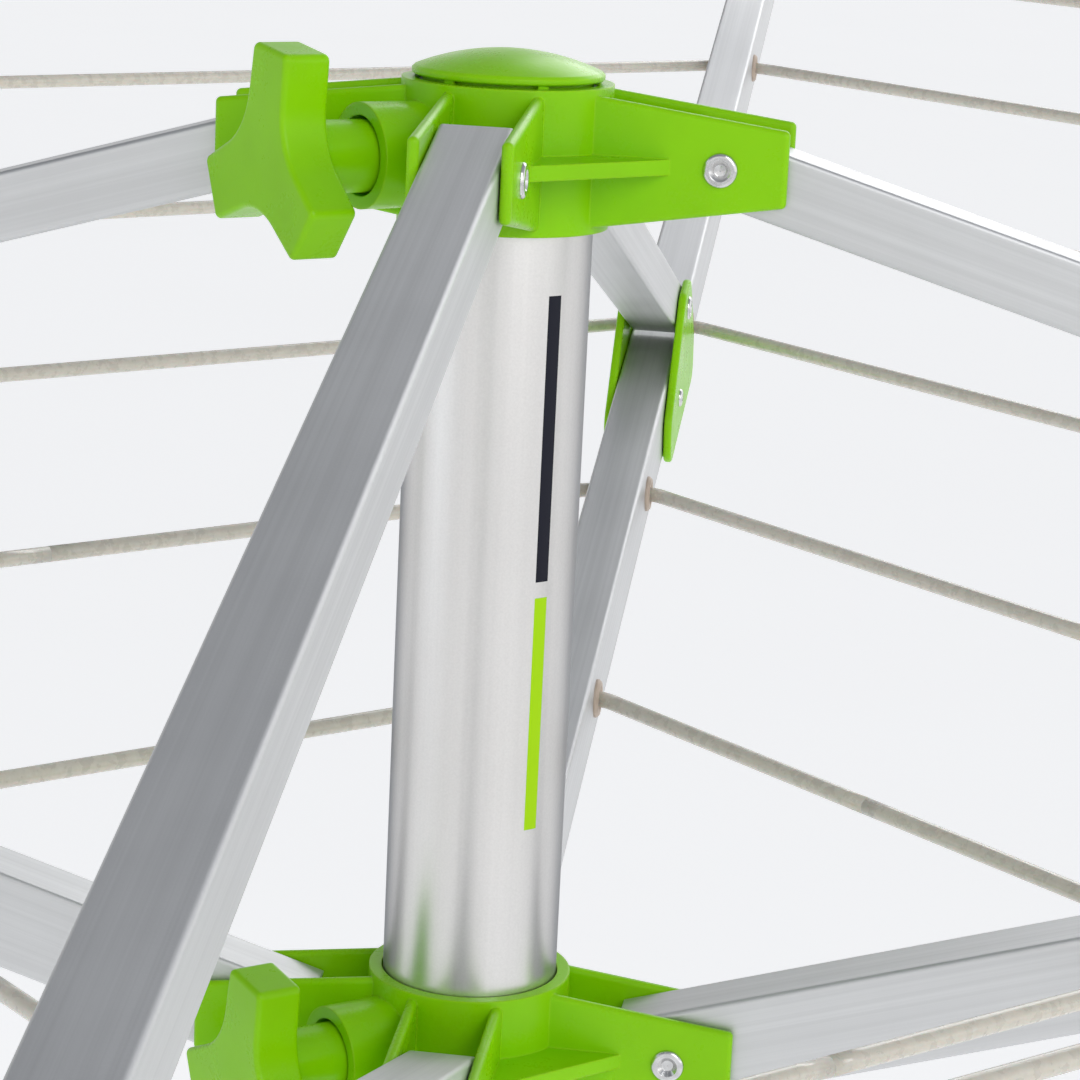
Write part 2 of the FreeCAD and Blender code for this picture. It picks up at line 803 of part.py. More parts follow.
def arm_tube(side, bearing):
    body = new_body("arm_tube_" + side, arm_place(bearing))
    square_tube(body, "-arm_inner_end", "arm_inner_end + arm_tip", "tube_width", "arm_height")
    pins = new_sketch(body, "XZ_Plane", "pivot_hole")
    circle(pins, "rivet_hole")
    pocket(body, pins)
    fixing = new_sketch(body, "XZ_Plane", "fixing_hole")
    circle(fixing, "fixing_hole", "bracket_station - fixing_offset")
    pocket(body, fixing)
    line = new_sketch(body, "XZ_Plane", "line_hole")
    circle(line, "eyelet_hole", "ring_first_station")
    row_of(body, [pocket(body, line)], RINGS, "ring_step_station * %d" % (RINGS - 1))
    return body


def arm_end_cap(side, bearing):
    body = new_body("arm_end_cap_" + side, arm_place(bearing))
    block = new_sketch(body, "YZ_Plane", "block", ("0", "0", "arm_tip"))
    half_width, half_height = "tube_width / 2 + cap_wall", "arm_height / 2 + cap_wall"
    rectangle(block, "-(%s)" % half_width, half_width, "-(%s)" % half_height, half_height)
    pad(body, block, "end_cap_thickness")
    back = value("arm_tip")
    round_edges(body, 2.5, lambda edge: max(vertex.X for vertex in edge.Vertexes) > back + 1)
    plug = new_sketch(body, "YZ_Plane", "plug", ("0", "0", "arm_tip - end_cap_plug"))
    inner_width, inner_height = "tube_width / 2 - tube_wall - 0.1", "arm_height / 2 - tube_wall - 0.1"
    rectangle(plug, "-(%s)" % inner_width, inner_width, "-(%s)" % inner_height, inner_height)
    pad(body, plug, "end_cap_plug + 1")
    return body


def bracket(side, bearing):
    """Two rounded cheeks beside the arm, joined by a saddle under it, that hold the strut's end."""
    body = new_body("bracket_" + side, arm_place(bearing))
    for name, shift in (("near", "ear_gap / 2"), ("far", "-ear_gap / 2 - ear_thickness")):
        cheek = new_sketch(body, "XZ_Plane", name + "_cheek", ("0", "0", shift))
        outline(cheek, (
            ("bracket_station - bracket_inner_length", "-bracket_bottom"),
            ("bracket_station + bracket_outer_length", "-bracket_bottom"),
            ("bracket_station + bracket_outer_length", "bracket_shoulder"),
            ("bracket_station + bracket_top_half", "bracket_top"),
            ("bracket_station - bracket_top_half", "bracket_top"),
            ("bracket_station - bracket_inner_length", "bracket_shoulder"),
        ))
        pad(body, cheek, "ear_thickness")
    round_edges(body, 8.0, lambda edge: runs_along(edge, Y_AXIS))
    round_edges(body, 1.2, lambda edge: not runs_along(edge, Y_AXIS))
    saddle = new_sketch(body, "XZ_Plane", "saddle")
    start = "bracket_station - bracket_inner_length + 10"
    finish = "bracket_station + bracket_outer_length - 10"
    rectangle(saddle, start, finish, "-bracket_bottom + 0.2", "-arm_height / 2 - 0.1")
    pad(body, saddle, "ear_gap + 1", both_ways=True)
    pins = new_sketch(body, "XZ_Plane", "pivot_hole")
    circle(pins, "rivet_hole", "bracket_station", "bracket_rise")
    circle(pins, "fixing_hole", "bracket_station - fixing_offset")
    pocket(body, pins)
    return body


def line_eyelets(side, bearing):
    """A flared eyelet in each side wall of the arm at each ring of the line."""
    body = new_body("line_eyelets_" + side, arm_place(bearing))
    wall = "tube_width / 2"
    turned = []
    for name, sign in (("near", "-"), ("far", "")):
        sketch = new_sketch(body, "XY_Plane", name + "_eyelet", ("ring_first_station", "0", "0"))
        corners = [
            ("eyelet_bore", "%s(%s - eyelet_depth + 1)" % (sign, wall)),
            ("eyelet_neck", "%s(%s - eyelet_depth + 1)" % (sign, wall)),
            ("eyelet_neck", "%s(%s)" % (sign, wall)),
            ("eyelet_flange", "%s(%s)" % (sign, wall)),
            ("eyelet_flange", "%s(%s + 0.8)" % (sign, wall)),
            ("eyelet_flange - 0.9", "%s(%s + 1.7)" % (sign, wall)),
            ("eyelet_bore + 1.1", "%s(%s + 1.7)" % (sign, wall)),
            ("eyelet_bore", "%s(%s + 0.4)" % (sign, wall)),
        ]
        outline(sketch, corners)
        turned.append(revolve(body, sketch))
    row_of(body, turned, RINGS, "ring_step_station * %d" % (RINGS - 1))
    return body


# ---- the line ----

def line_run(radius, height):
    """One half span, the bend at the eyelet, the way through the arm, and the other half span."""
    corner = value("line_corner")
    middle = (radius + corner) / 2
    route = (
        Vector(middle, -middle, height),
        Vector(radius, -corner, height),
        Vector(radius, corner, height),
        Vector(middle, middle, height),
    )
    bend = value("line_bend_radius")
    setback = bend * math.tan(math.radians(22.5))
    edges = []
    start = route[0]
    for before, here, after in zip(route, route[1:], route[2:]):
        coming = (here - before).normalize()
        going = (after - here).normalize()
        tangent_in = here - coming * setback
        tangent_out = here + going * setback
        inwards = (going - coming).normalize()
        centre = here + inwards * (bend / math.cos(math.radians(22.5)))
        edges.append(Part.LineSegment(start, tangent_in).toShape())
        edges.append(Part.Arc(tangent_in, centre - inwards * bend, tangent_out).toShape())
        start = tangent_out
    edges.append(Part.LineSegment(start, route[3]).toShape())
    path = Part.Wire(edges)
    thick = value("line_radius")
    section = Part.Wire([Part.Circle(route[0], (route[1] - route[0]).normalize(), thick).toShape()])
    tube = path.makePipeShell([section], True, True)
    expected = math.pi * thick**2 * path.Length
    if abs(tube.Volume / expected - 1) > 0.01:
        raise RuntimeError("line tube has the wrong volume")
    return tube


def clothesline(side, bearing):
    """The line's eight rings, each as the half spans that meet this arm."""
    runs = []
    climb = math.tan(math.radians(value("arm_slope")))
    for ring in range(RINGS):
        radius = value("ring_first_radius") + ring * value("ring_step_radius")
        height = LOWER_PIVOT + (radius - value("pivot_radius")) * climb
        runs.append(line_run(radius, height))
    feature = doc.addObject("Part::Feature", "clothesline_" + side)
    feature.Label = "clothesline_" + side
    feature.Shape = Part.makeCompound(runs)
    feature.Placement = around(bearing)
    return feature


# ---- the whole model ----

def build():
    parts = [ground_socket(), socket_bushing(), lid_pin(), socket_lid(), mast_tube(), mast_foot()]
    parts.append(hub("upper_hub", UPPER_PIVOT, "fixed_bore"))
    parts.append(hub("runner_hub", LOWER_PIVOT, "sliding_bore"))
    parts += [hub_cap(), upper_hub_rivets(), runner_rivets()]
    for name, height in (("upper", UPPER_PIVOT), ("runner", LOWER_PIVOT)):
        parts.append(clamp_nut(name + "_clamp_nut", height))
        parts.append(clamp_pad(name + "_clamp_pad", height))
        parts.append(clamp_screw(name + "_clamp_screw", height))
        parts.append(knob(name + "_knob", height))
    for side, bearing in SIDES:
        parts.append(strut_tube(side, bearing))
        parts.append(arm_tube(side, bearing))
        parts.append(arm_end_cap(side, bearing))
        parts.append(bracket(side, bearing))
        parts.append(bracket_rivets(side, bearing))
        parts.append(line_eyelets(side, bearing))
        parts.append(clothesline(side, bearing))
    return parts


def check(parts):
    """Stop if any object failed, or if any sub-part has no sound shape."""
    doc.recompute()
    for item in doc.Objects:
        if "Invalid" in item.State or "Error" in item.State:
            raise RuntimeError("%s is %s" % (item.Name, item.State))
    for part in parts:
        if part.Shape.isNull() or not part.Shape.isValid() or part.Shape.Volume <= 0:
            raise RuntimeError(part.Label + " has no sound shape")


def write(parts):
    os.makedirs("parts", exist_ok=True)
    for part in parts:
        part.Shape.exportStep(os.path.join("parts", part.Label + ".step"))


def report(parts):
    """The lengths and angles that the joints need."""
    for name in ("strut_slope", "arm_slope", "reach_slope", "arm_reach", "arm_tip"):
        print(name, round(SIZE[name], 4))
    print("runner travel", round(SIZE["strut_reach"] + SIZE["arm_reach"] - SIZE["pivot_spacing"], 4))
    print(len(parts), "sub-parts")
    for part in parts:
        print(part.Label, len(part.Shape.Solids), round(part.Shape.Volume, 1))


import Sketcher

ALL_PARTS = build()
check(ALL_PARTS)
write(ALL_PARTS)
report(ALL_PARTS)
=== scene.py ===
import json
import math

import bmesh
import bpy
from mathutils import Matrix, Vector


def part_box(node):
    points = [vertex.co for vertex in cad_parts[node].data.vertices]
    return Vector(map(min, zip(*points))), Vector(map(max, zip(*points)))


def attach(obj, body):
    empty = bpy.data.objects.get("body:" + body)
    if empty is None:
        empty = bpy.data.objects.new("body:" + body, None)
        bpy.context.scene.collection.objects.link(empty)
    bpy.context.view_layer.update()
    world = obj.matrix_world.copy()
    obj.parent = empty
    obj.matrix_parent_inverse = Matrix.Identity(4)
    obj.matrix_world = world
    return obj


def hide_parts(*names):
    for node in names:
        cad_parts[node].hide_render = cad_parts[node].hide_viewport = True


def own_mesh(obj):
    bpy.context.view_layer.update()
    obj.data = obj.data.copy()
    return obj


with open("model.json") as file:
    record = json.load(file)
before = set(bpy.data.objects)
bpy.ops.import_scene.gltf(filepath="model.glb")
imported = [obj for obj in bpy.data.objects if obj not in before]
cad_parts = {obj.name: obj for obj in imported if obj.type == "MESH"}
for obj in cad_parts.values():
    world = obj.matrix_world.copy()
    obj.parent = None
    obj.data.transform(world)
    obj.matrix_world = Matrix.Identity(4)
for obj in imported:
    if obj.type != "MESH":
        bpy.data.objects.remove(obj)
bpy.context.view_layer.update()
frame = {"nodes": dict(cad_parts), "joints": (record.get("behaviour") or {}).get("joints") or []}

bl_info = {
    "name": "Rotary clothesline looks",
    "version": (1, 0, 0),
    "blender": (4, 5, 0),
    "location": "3D View > Sidebar > Clothesline",
    "description": "Finishes, strung line and studio for a folding rotary clothesline",
    "category": "Object",
}

SIDES = {"right": 0, "back": 90, "left": 180, "front": 270}


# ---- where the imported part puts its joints, so that nothing here repeats its sizes ----

def joint(name):
    for found in frame["joints"]:
        if found["name"] == name:
            return found
    raise RuntimeError("the part has no joint named " + name)


def middle_of(node):
    low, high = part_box(node)
    return (Vector(low) + Vector(high)) / 2


def size_of(node):
    low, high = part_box(node)
    return Vector(high) - Vector(low)


def rings_of(side):
    """Radius and height of each ring's eyelets on one arm, from the innermost ring outwards."""
    bearing = math.radians(SIDES[side])
    outward = Vector((math.cos(bearing), math.sin(bearing), 0))
    corners = frame["nodes"]["line_eyelets_" + side].data.vertices
    found = []
    for radius, height in sorted((corner.co.dot(outward), corner.co.z) for corner in corners):
        if not found or radius - found[-1][-1][0] > RING_GAP:
            found.append([])
        found[-1].append((radius, height))
    places = []
    for ring in found:
        radii, heights = zip(*ring)
        places.append(((min(radii) + max(radii)) / 2, (min(heights) + max(heights)) / 2))
    return places


def turn_of(name):
    """How far a joint turns, in radians."""
    return math.radians(joint(name)["range_deg"][1])


RING_GAP = 0.03
RINGS = {side: rings_of(side) for side in SIDES}
INNER_RING, OUTER_RING = RINGS["right"][0], RINGS["right"][-1]
ARM_SLOPE = math.atan2(OUTER_RING[1] - INNER_RING[1], OUTER_RING[0] - INNER_RING[0])
STRUT_SLOPE = math.radians(90) - turn_of("strut_swing_right")
FOLDED_SLOPE = ARM_SLOPE + turn_of("arm_fold_right") - turn_of("strut_swing_right")
UPPER_PIVOT = Vector(joint("strut_swing_right")["pos_m"])
ARM_PIVOT = Vector((UPPER_PIVOT.x, 0, middle_of("runner_rivets").z))
EYELET_TO_CORNER = 0.0009
LINE_CORNER = size_of("line_eyelets_right").y / 2 + EYELET_TO_CORNER


# ---- sizes and colours that a user would change ----

class PlasticLook(bpy.types.PropertyGroup):
    """Colours of the moulded pieces."""

    green: bpy.props.FloatVectorProperty(
        name="Moulded green", description="Colour of hubs, knobs, brackets and caps",
        subtype="COLOR", size=3, min=0, max=1, default=(0.245, 0.60, 0.0))
    # Painted highlight: the lighter green laid along every moulded edge.
    green_edge_highlight: bpy.props.FloatVectorProperty(
        name="Green on edges", description="Lighter green where thin edges let light through",
        subtype="COLOR", size=3, min=0, max=1, default=(0.40, 0.74, 0.01))
    dark: bpy.props.FloatVectorProperty(
        name="Dark plastic", description="Colour of the ground socket, bushing, foot and pads",
        subtype="COLOR", size=3, min=0, max=1, default=(0.035, 0.036, 0.038))
    eyelet: bpy.props.FloatVectorProperty(
        name="Eyelet plastic", description="Colour of the line's eyelets",
        subtype="COLOR", size=3, min=0, max=1, default=(0.50, 0.40, 0.32))
    grain: bpy.props.FloatProperty(
        name="Mould grain", description="Spacing of the fine grain that the mould leaves",
        unit="LENGTH", min=0.0002, max=0.01, default=0.0011)
    # Width of the band along moulded edges. The band is rounded in shading, painted as a lighter green
    # highlight on the green pieces, and made lighter grey on the dark pieces.
    edge_band: bpy.props.FloatProperty(
        name="Edge softness", description="Width of the worn, rounded band along moulded edges",
        unit="LENGTH", min=0.0001, max=0.003, default=0.0009)


class MetalLook(bpy.types.PropertyGroup):
    """Finishes of the tubes and fasteners."""

    mast: bpy.props.FloatVectorProperty(
        name="Mast", description="Colour of the satin mast tube",
        subtype="COLOR", size=3, min=0, max=1, default=(0.80, 0.785, 0.77))
    arm: bpy.props.FloatVectorProperty(
        name="Arms and struts", description="Colour of the drawn arm and strut tubes",
        subtype="COLOR", size=3, min=0, max=1, default=(0.66, 0.665, 0.67))
    steel: bpy.props.FloatVectorProperty(
        name="Fasteners", description="Colour of rivets, nuts and screws",
        subtype="COLOR", size=3, min=0, max=1, default=(0.72, 0.72, 0.72))
    stripe_green: bpy.props.FloatVectorProperty(
        name="Lower stripe", description="Colour of the lower plain stripe on the mast",
        subtype="COLOR", size=3, min=0, max=1, default=(0.36, 0.66, 0.0))
    stripe_dark: bpy.props.FloatVectorProperty(
        name="Upper stripe", description="Colour of the upper plain stripe on the mast",
        subtype="COLOR", size=3, min=0, max=1, default=(0.012, 0.012, 0.02))
    stripe_width: bpy.props.FloatProperty(
        name="Stripe width", description="Width of the plain stripes on the mast",
        unit="LENGTH", min=0.0, max=0.02, default=0.0042)
    stripe_bearing: bpy.props.FloatProperty(
        name="Stripe bearing", description="Bearing of the stripes round the mast, from the right arm",
        unit="ROTATION", default=math.radians(-44))


class LineLook(bpy.types.PropertyGroup):
    """Shape and colour of the washing line."""

    colour: bpy.props.FloatVectorProperty(
        name="Line", description="Colour of the coated washing line",
        subtype="COLOR", size=3, min=0, max=1, default=(0.60, 0.57, 0.49))
    core: bpy.props.FloatVectorProperty(
        name="Line core", description="Colour of the core that shows through the coat at its edges",
        subtype="COLOR", size=3, min=0, max=1, default=(0.42, 0.37, 0.30))
    facets: bpy.props.IntProperty(
        name="Facets", description="Flats round the line", min=6, max=48, default=16)
    bend: bpy.props.FloatProperty(
        name="Bend radius", description="Radius of the line's centre where it turns at an eyelet",
        unit="LENGTH", min=0.004, max=0.02, default=0.012)


class StageLook(bpy.types.PropertyGroup):
    """Floor, lights and camera."""

    floor: bpy.props.FloatVectorProperty(
        name="Floor", description="Colour of the plain floor",
        subtype="COLOR", size=3, min=0, max=1, default=(0.90, 0.90, 0.90))
    floor_glow: bpy.props.FloatProperty(
        name="Floor glow", description="Light that the studio floor gives off, so that it stays pale",
        min=0, default=0.46)
    sky: bpy.props.FloatProperty(
        name="Surround", description="Strength of the light from all round", min=0, default=1.6)
    dim_side: bpy.props.FloatProperty(
        name="Dim side", description="Share of the surround's light that is left on the left side",
        min=0, max=1, default=0.45)
    key: bpy.props.FloatProperty(
        name="Key light", description="Power of the main light", min=0, default=24.0)
    lens: bpy.props.FloatProperty(
        name="Lens", description="Focal length on a 36 mm sensor", unit="CAMERA", default=109.83)


GROUPS = {
    "clothesline_plastic": PlasticLook,
    "clothesline_metal": MetalLook,
    "clothesline_line": LineLook,
    "clothesline_stage": StageLook,
}


def look(name):
    return getattr(bpy.context.scene, "clothesline_" + name)


# ---- small vocabulary for node materials ----

class Graph:
    """One material's nodes, named as they are added."""

    def __init__(self, name):
        self.material = bpy.data.materials.new(name)
        self.material.use_nodes = True
        self.tree = self.material.node_tree
        self.tree.nodes.clear()
        self.surface = self.add("ShaderNodeBsdfPrincipled")
        out = self.add("ShaderNodeOutputMaterial")
        self.join(self.surface.outputs["BSDF"], out.inputs["Surface"])

    def add(self, kind, **values):
        node = self.tree.nodes.new(kind)
        for name, value in values.items():
            setattr(node, name, value)
        return node

    def join(self, source, target):
        self.tree.links.new(source, target)

    def place(self, turn=(0, 0, 0), stretch=(1, 1, 1)):
        """Row-frame position, turned and then stretched."""
        where = self.add("ShaderNodeTexCoord")
        turned = self.add("ShaderNodeMapping")
        turned.inputs["Rotation"].default_value = turn
        self.join(where.outputs["Object"], turned.inputs["Vector"])
        scaled = self.add("ShaderNodeMapping")
        scaled.inputs["Scale"].default_value = stretch
        self.join(turned.outputs["Vector"], scaled.inputs["Vector"])
        return scaled.outputs["Vector"]

    def noise(self, place, scale, detail=3.0, rough=0.55):
        node = self.add("ShaderNodeTexNoise")
        node.inputs["Scale"].default_value = scale
        node.inputs["Detail"].default_value = detail
        node.inputs["Roughness"].default_value = rough
        self.join(place, node.inputs["Vector"])
        return node.outputs["Fac"]

    def spread(self, value, low, high, to_low, to_high):
        """Carry a value from one range to another, held at the ends."""
        node = self.add("ShaderNodeMapRange")
        for name, number in (("From Min", low), ("From Max", high), ("To Min", to_low), ("To Max", to_high)):
            node.inputs[name].default_value = number
        self.join(value, node.inputs["Value"])
        return node.outputs["Result"]

    def math(self, operation, first, second=None):
        node = self.add("ShaderNodeMath", operation=operation)
        for socket, value in zip(node.inputs, (first, second)):
            if isinstance(value, (int, float)):
                socket.default_value = value
            elif value is not None:
                self.join(value, socket)
        return node.outputs["Value"]

    def blend(self, share, first, second, mode="MIX"):
        node = self.add("ShaderNodeMix", data_type="RGBA", blend_type=mode)
        for socket, value in ((node.inputs[0], share), (node.inputs[6], first), (node.inputs[7], second)):
            if isinstance(value, (int, float)):
                socket.default_value = value
            elif isinstance(value, (tuple, list)):
                socket.default_value = (*value[:3], 1)
            else:
                self.join(value, socket)
        return node.outputs[2]

    def soft_edges(self, width):
        """A normal rounded over edges, and a mask that is 1 on them."""
        rounded = self.add("ShaderNodeBevel", samples=4)
        rounded.inputs["Radius"].default_value = width
        facing = self.add("ShaderNodeNewGeometry")
        match = self.add("ShaderNodeVectorMath", operation="DOT_PRODUCT")
        self.join(rounded.outputs["Normal"], match.inputs[0])
        self.join(facing.outputs["Normal"], match.inputs[1])
        return rounded.outputs["Normal"], self.spread(match.outputs["Value"], 0.80, 0.995, 1.0, 0.0)

    def bump(self, height, depth, normal=None, strength=1.0):
        node = self.add("ShaderNodeBump")
        node.inputs["Strength"].default_value = strength
        node.inputs["Distance"].default_value = depth
        self.join(height, node.inputs["Height"])
        if normal is not None:
            self.join(normal, node.inputs["Normal"])
        return node.outputs["Normal"]

    def set(self, **sockets):
        for name, value in sockets.items():
            socket = self.surface.inputs[name.replace("_", " ")]
            if isinstance(value, (int, float)):
                socket.default_value = value
            elif isinstance(value, (tuple, list)):
                socket.default_value = (*value[:3], 1)
            else:
                self.join(value, socket)
        return self.material


def darker(colour, share):
    return tuple(channel * share for channel in colour)


# ---- finishes ----

def moulded_green():
    """Lime green moulding: soft sheen, faint flow clouds, fine mould grain, and a painted highlight of
    lighter green along the edges.
    """
    values = look("plastic")
    g = Graph("moulded_green")
    here = g.place()
    clouds = g.spread(g.noise(here, 26.0, 4.0), 0.35, 0.65, 0.0, 1.0)
    tint = g.blend(clouds, darker(values.green, 0.90), tuple(values.green))
    rounded, edge = g.soft_edges(values.edge_band)
    # Painted highlight: lighter green laid along every edge.
    colour = g.blend(g.math("MULTIPLY", edge, 0.55), tint, tuple(values.green_edge_highlight))
    grain = g.noise(here, 1.0 / values.grain, 2.0)
    flow = g.noise(here, 60.0, 2.0)
    sheen = g.spread(g.math("ADD", g.math("MULTIPLY", flow, 0.7), g.math("MULTIPLY", grain, 0.3)),
                     0.35, 0.65, 0.24, 0.36)
    return g.set(Base_Color=colour, Roughness=sheen, Normal=g.bump(grain, 0.00003, rounded),
                 IOR=1.46, Specular_IOR_Level=0.22, Subsurface_Weight=0.08, Subsurface_Scale=0.003,
                 Coat_Weight=0.03, Coat_Roughness=0.12)


def dark_plastic():
    """Dark grained plastic, a little dusty, and lighter grey along its edges."""
    values = look("plastic")
    g = Graph("dark_plastic")
    here = g.place()
    dust = g.spread(g.noise(here, 35.0, 6.0, 0.65), 0.48, 0.72, 0.0, 0.6)
    rounded, edge = g.soft_edges(values.edge_band)
    base = g.blend(dust, tuple(values.dark), tuple(channel * 1.9 + 0.01 for channel in values.dark))
    # Lighter grey along every edge.
    colour = g.blend(g.math("MULTIPLY", edge, 0.5), base, (0.11, 0.11, 0.11))
    grain = g.noise(here, 700.0, 2.0)
    return g.set(Base_Color=colour, Roughness=g.spread(grain, 0.3, 0.7, 0.48, 0.66),
                 Normal=g.bump(grain, 0.00008, rounded), IOR=1.5)


def eyelet_plastic():
    """Brown eyelet plastic, paler along all its edges."""
    values = look("plastic")
    g = Graph("eyelet_plastic")
    here = g.place()
    rounded, edge = g.soft_edges(0.0006)
    mottle = g.spread(g.noise(here, 180.0, 3.0), 0.35, 0.65, 0.0, 1.0)
    base = g.blend(mottle, darker(values.eyelet, 0.82), tuple(values.eyelet))
    # Paler along every edge.
    colour = g.blend(g.math("MULTIPLY", edge, 0.5), base, (0.62, 0.54, 0.46))
    return g.set(Base_Color=colour, Roughness=g.spread(mottle, 0.0, 1.0, 0.35, 0.5),
                 Normal=g.bump(g.noise(here, 900.0), 0.00004, rounded), IOR=1.49)


STRIPES_BELOW_PIVOTS = ((0.187, 0.120), (0.1155, 0.036))


def stripe_mask(g, here_low, here_high):
    """1 inside a plain upright stripe on the mast's face, between two heights."""
    values = look("metal")
    where = g.add("ShaderNodeTexCoord")
    parts = g.add("ShaderNodeSeparateXYZ")
    g.join(where.outputs["Object"], parts.inputs["Vector"])
    x, y, z = parts.outputs["X"], parts.outputs["Y"], parts.outputs["Z"]
    c, s = math.cos(values.stripe_bearing), math.sin(values.stripe_bearing)
    across = g.math("SUBTRACT", g.math("MULTIPLY", y, c), g.math("MULTIPLY", x, s))
    out = g.math("ADD", g.math("MULTIPLY", x, c), g.math("MULTIPLY", y, s))
    inside = g.math("LESS_THAN", g.math("ABSOLUTE", across), values.stripe_width / 2)
    front = g.math("GREATER_THAN", out, 0.0)
    above = g.math("GREATER_THAN", z, here_low)
    below = g.math("LESS_THAN", z, here_high)
    return g.math("MULTIPLY", g.math("MULTIPLY", inside, front), g.math("MULTIPLY", above, below))


def satin_mast():
    """Satin mast tube: fine bead-blasted grain, faint drawn streaks and two plain printed stripes."""
    values = look("metal")
    top = UPPER_PIVOT.z
    g = Graph("satin_mast")
    here = g.place()
    streaks = g.noise(g.place(stretch=(420, 420, 2.2)), 1.0, 3.0)
    grain = g.noise(here, 1500.0, 2.0)
    smudge = g.noise(here, 18.0, 4.0)
    tone = g.spread(g.math("ADD", g.math("MULTIPLY", grain, 0.55), g.math("MULTIPLY", streaks, 0.45)),
                    0.35, 0.65, 0.0, 1.0)
    metal = g.blend(tone, darker(values.mast, 0.93), tuple(values.mast))
    low, high = (stripe_mask(g, top - lower, top - upper) for lower, upper in STRIPES_BELOW_PIVOTS)
    printed = g.blend(low, metal, tuple(values.stripe_green))
    colour = g.blend(high, printed, tuple(values.stripe_dark))
    ink = g.math("ADD", low, high)
    shine = g.spread(smudge, 0.3, 0.7, 0.30, 0.37)
    rough = g.math("ADD", g.math("MULTIPLY", ink, 0.06), shine)
    height = g.math("ADD", g.math("MULTIPLY", grain, 0.5), g.math("MULTIPLY", ink, 1.6))
    return g.set(Base_Color=colour, Metallic=g.math("SUBTRACT", 1.0, ink),
                 Roughness=rough, Normal=g.bump(height, 0.00003), Specular_Tint=(0.22, 0.24, 0.27))


def drawn_aluminium(name, bearing, slope):
    """Anodised tube drawn along its own length: long streaks and a matte bloom, softened corners, and a
    painted highlight of paler grey along the corners.
    """
    values = look("metal")
    g = Graph(name)
    level = Matrix.Rotation(-slope, 3, "Y").inverted() @ Matrix.Rotation(-bearing, 3, "Z")
    along = g.place(turn=tuple(level.to_euler("XYZ")))
    here = g.place()
    stretch = g.add("ShaderNodeMapping")
    stretch.inputs["Scale"].default_value = (3.0, 650.0, 650.0)
    g.join(along, stretch.inputs["Vector"])
    streaks = g.noise(stretch.outputs["Vector"], 1.0, 3.0, 0.6)
    bloom = g.noise(here, 14.0, 5.0, 0.6)
    grain = g.noise(here, 1300.0, 2.0)
    rounded, edge = g.soft_edges(0.0007)
    tone = g.spread(g.math("ADD", g.math("MULTIPLY", streaks, 0.6), g.math("MULTIPLY", bloom, 0.4)),
                    0.38, 0.62, 0.0, 1.0)
    base = g.blend(tone, darker(values.arm, 0.90), tuple(values.arm))
    # Painted highlight: paler grey laid along the tube's corners.
    colour = g.blend(g.math("MULTIPLY", edge, 0.5), base, (0.72, 0.72, 0.72))
    height = g.math("ADD", g.math("MULTIPLY", streaks, 0.6), g.math("MULTIPLY", grain, 0.4))
    return g.set(Base_Color=colour, Metallic=0.9, Roughness=g.spread(bloom, 0.3, 0.7, 0.44, 0.54),
                 Normal=g.bump(height, 0.00004, rounded))


def bright_steel():
    """Zinc plated fasteners with turned marks and tiny dings."""
    values = look("metal")
    g = Graph("bright_steel")
    here = g.place()
    rounded, edge = g.soft_edges(0.0003)
    plating = g.spread(g.noise(here, 420.0, 4.0), 0.35, 0.65, 0.0, 1.0)
    colour = g.blend(plating, darker(values.steel, 0.82), tuple(values.steel))
    return g.set(Base_Color=colour, Metallic=1.0, Roughness=g.spread(plating, 0.0, 1.0, 0.24, 0.13),
                 Normal=g.bump(g.noise(here, 1600.0), 0.00003, rounded))


def coated_line():
    """Plastic-coated line: pale milky coat with the darker laid core showing faintly through."""
    values = look("line")
    g = Graph("coated_line")
    here = g.place()
    mottle = g.spread(g.noise(here, 240.0, 3.0), 0.35, 0.65, 0.0, 1.0)
    laid = g.spread(g.noise(here, 900.0, 2.0), 0.42, 0.62, 0.0, 1.0)
    coat = g.blend(mottle, darker(values.colour, 0.90), tuple(values.colour))
    colour = g.blend(g.math("MULTIPLY", laid, 0.10), coat, tuple(values.core))
    return g.set(Base_Color=colour, Roughness=g.spread(mottle, 0.0, 1.0, 0.24, 0.34),
                 Normal=g.bump(g.noise(here, 520.0, 2.0), 0.00006), IOR=1.54,
                 Subsurface_Weight=0.25, Subsurface_Scale=0.002, Coat_Weight=0.5, Coat_Roughness=0.12)


def finish(nodes, material):
    """Give each carried-over CAD node its better material."""
    for name in nodes:
        shown = frame["nodes"][name]
        shown.data.materials.clear()
        shown.data.materials.append(material)


# ---- one operator for each piece or group of like pieces ----

class CLOTHESLINE_OT_green(bpy.types.Operator):
    """Finish the green mouldings: hubs, cap, knobs, brackets, end caps and socket lid"""

    bl_idname = "clothesline.green"
    bl_label = "Green Mouldings"

    def execute(self, context):
        nodes = ["upper_hub", "runner_hub", "hub_cap", "upper_knob", "runner_knob", "socket_lid"]
        for side in SIDES:
            nodes += ["bracket_" + side, "arm_end_cap_" + side]
        finish(nodes, moulded_green())
        return {"FINISHED"}


class CLOTHESLINE_OT_dark(bpy.types.Operator):
    """Finish the dark plastic: ground socket, bushing, mast foot and clamp pads"""

    bl_idname = "clothesline.dark"
    bl_label = "Dark Plastic"

    def execute(self, context):
        finish(["ground_socket", "socket_bushing", "mast_foot", "upper_clamp_pad", "runner_clamp_pad"],
               dark_plastic())
        return {"FINISHED"}


class CLOTHESLINE_OT_mast(bpy.types.Operator):
    """Finish the satin mast tube with its plain stripes"""

    bl_idname = "clothesline.mast"
    bl_label = "Mast Tube"

    def execute(self, context):
        finish(["mast_tube"], satin_mast())
        return {"FINISHED"}


